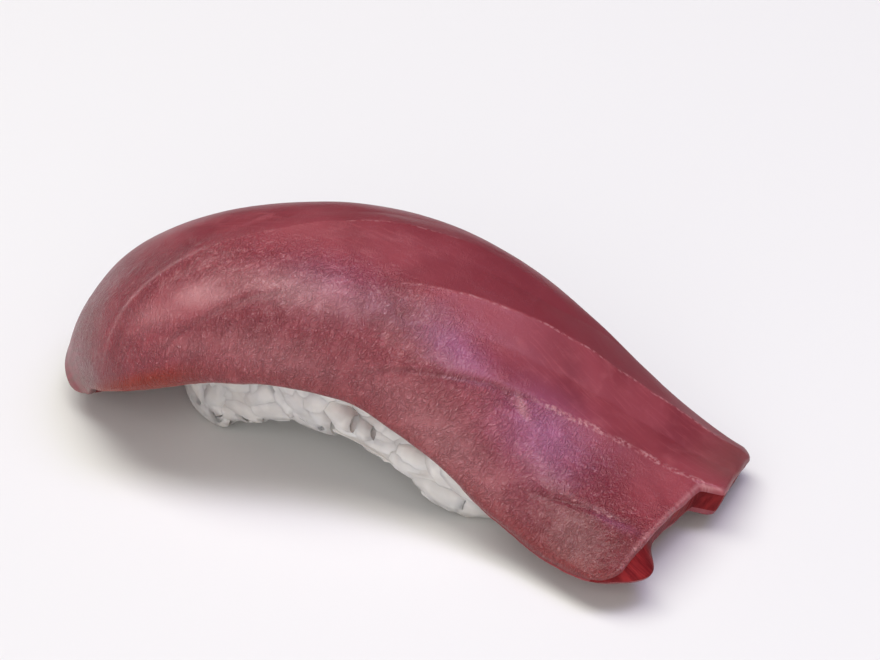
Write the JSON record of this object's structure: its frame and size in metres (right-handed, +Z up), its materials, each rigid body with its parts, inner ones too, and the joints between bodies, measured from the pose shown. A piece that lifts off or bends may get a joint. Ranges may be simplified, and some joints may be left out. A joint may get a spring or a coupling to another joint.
{
  "type": "tuna nigiri",
  "caption": "Nigiri sushi: a thick slice of raw red tuna draped in an arch over a pressed block of white rice with its grains showing.",
  "frame": {"origin": "on the surface that the rice stands on, under the middle of the bounding box", "axes": "+X along the slice towards its long low end, +Y to the back, +Z up"},
  "size_m": [0.0746, 0.0352, 0.0238],
  "materials": {
    "tuna": "moist raw flesh, satin with a soft wet sheen",
    "rice": "cooked rice, translucent white, slightly sticky gloss"
  },
  "bodies": {
    "root": {"tuna_slice": "tuna", "rice_block": "rice"}
  },
  "joints": []
}
